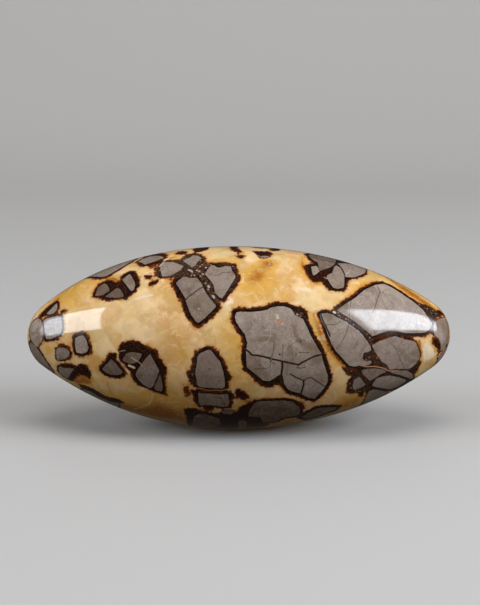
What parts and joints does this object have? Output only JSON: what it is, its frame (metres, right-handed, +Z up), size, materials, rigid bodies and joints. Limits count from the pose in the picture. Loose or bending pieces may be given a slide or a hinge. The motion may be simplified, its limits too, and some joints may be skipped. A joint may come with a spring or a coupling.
{
  "type": "shiva lingam stone",
  "caption": "Polished septarian lingam stone: a solid spindle with two rounded noses, lying on its side, to stand on a shelf, hold in the hand or set in a holder.",
  "frame": {"origin": "on the surface that the stone rests on, under the middle of its length", "axes": "+X along the stone from the left tip to the right tip, +Y away from the side that the picture shows, +Z up"},
  "size_m": [0.14, 0.0606, 0.0603],
  "materials": {
    "septarian_stone": "polished cream calcite with grey mudstone pieces rimmed in dark brown"
  },
  "bodies": {
    "root": {"lingam_stone": "septarian_stone"}
  },
  "joints": []
}
